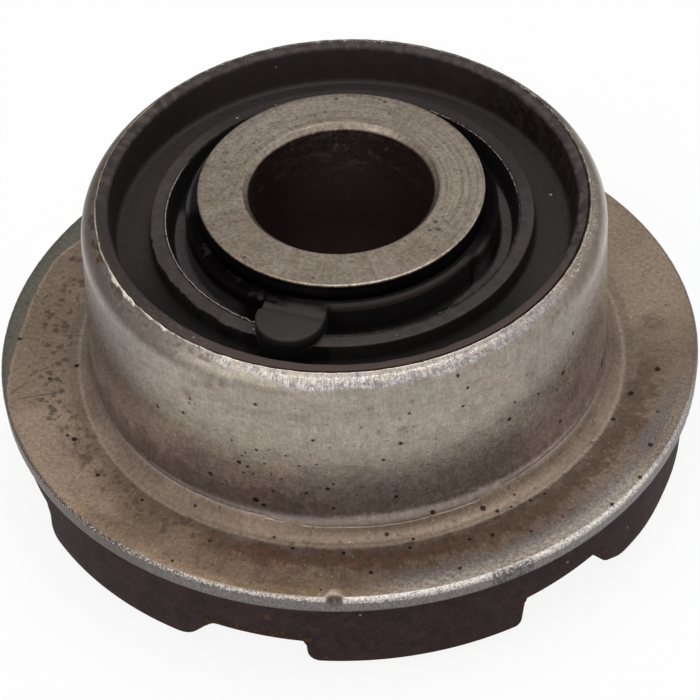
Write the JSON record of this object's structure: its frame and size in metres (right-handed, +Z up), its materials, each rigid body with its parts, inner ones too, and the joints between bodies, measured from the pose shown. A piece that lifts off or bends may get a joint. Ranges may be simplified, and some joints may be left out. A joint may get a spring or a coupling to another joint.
{
  "type": "rubber metal bush",
  "caption": "Flanged suspension bush: thick inner steel sleeve held by moulded rubber in a drawn steel collar, with a castellated rubber pad under the flange.",
  "frame": {"origin": "centre of the inner sleeve's lower end face, the lowest plane of the part", "axes": "+Z up the bore, from the flange end towards the collar's rim; -Y through the orientation tab and the gap under it"},
  "size_m": [0.055, 0.055, 0.0255],
  "materials": {
    "sleeve_steel": "turned end faces, dry, with fine dark pits",
    "collar_steel": "drawn sheet, satin, oily brown patina on the flange, pitted, worn bright at the edges",
    "rubber": "moulded, matt black with a satin sheen"
  },
  "bodies": {
    "root": {"inner_sleeve": "sleeve_steel", "outer_sleeve": "collar_steel", "rubber_body": "rubber"}
  },
  "joints": []
}
